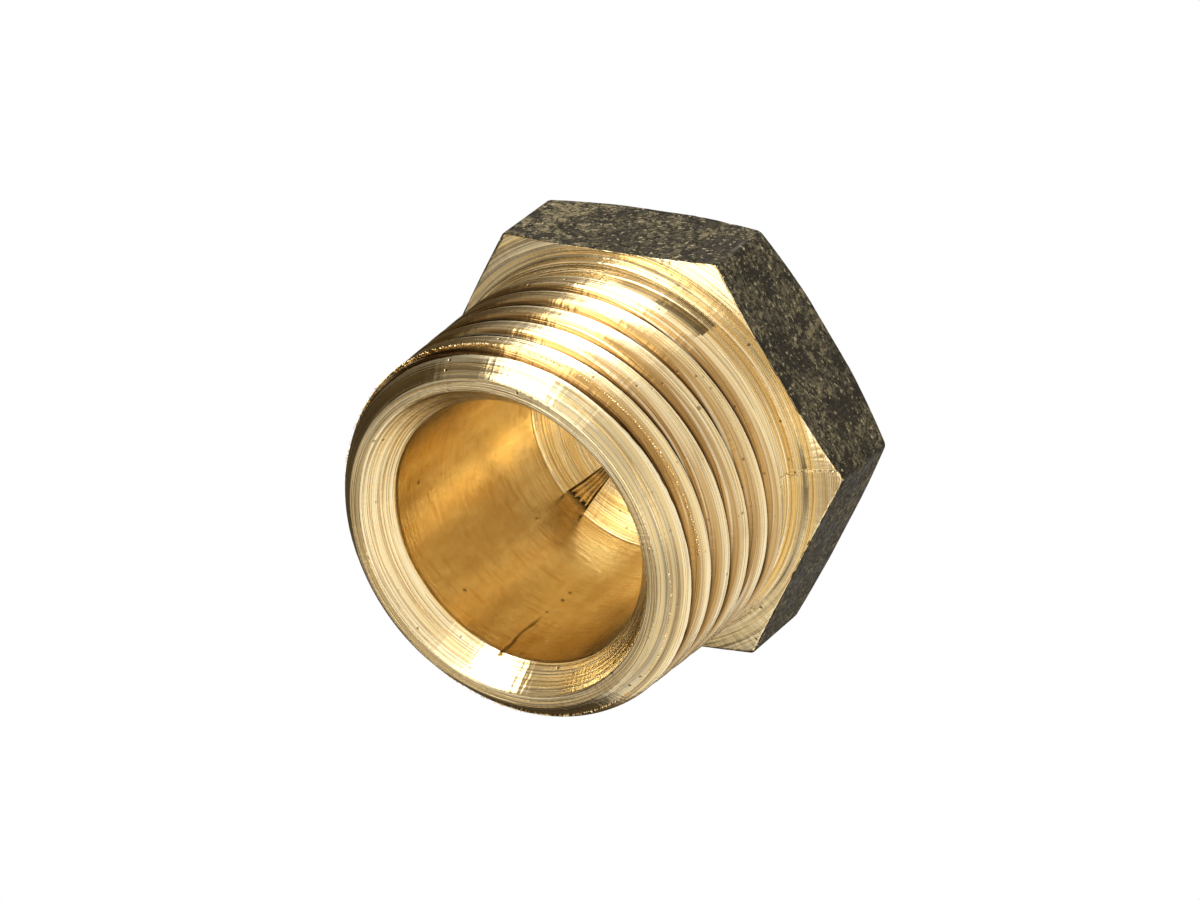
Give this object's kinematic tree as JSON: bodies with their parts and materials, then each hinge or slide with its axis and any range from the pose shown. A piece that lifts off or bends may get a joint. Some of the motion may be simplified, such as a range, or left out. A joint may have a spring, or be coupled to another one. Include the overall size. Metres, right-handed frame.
{
  "type": "hex head pipe plug",
  "caption": "Hollow brass hex head plug with a male taper pipe thread, a chamfered open mouth and a blind bore, for closing a threaded pipe port",
  "frame": {"origin": "centre of the outer face of the hexagonal head, which the plug stands on", "axes": "+Z along the thread axis and out of the open mouth, +X towards one corner of the hexagon, +Y across two flats"},
  "size_m": [0.0254, 0.0222, 0.0178],
  "materials": {
    "brass": "turned shank and mouth, forged wrench flats with a dark patina"
  },
  "bodies": {
    "root": {"plug_body": "brass"}
  },
  "joints": []
}
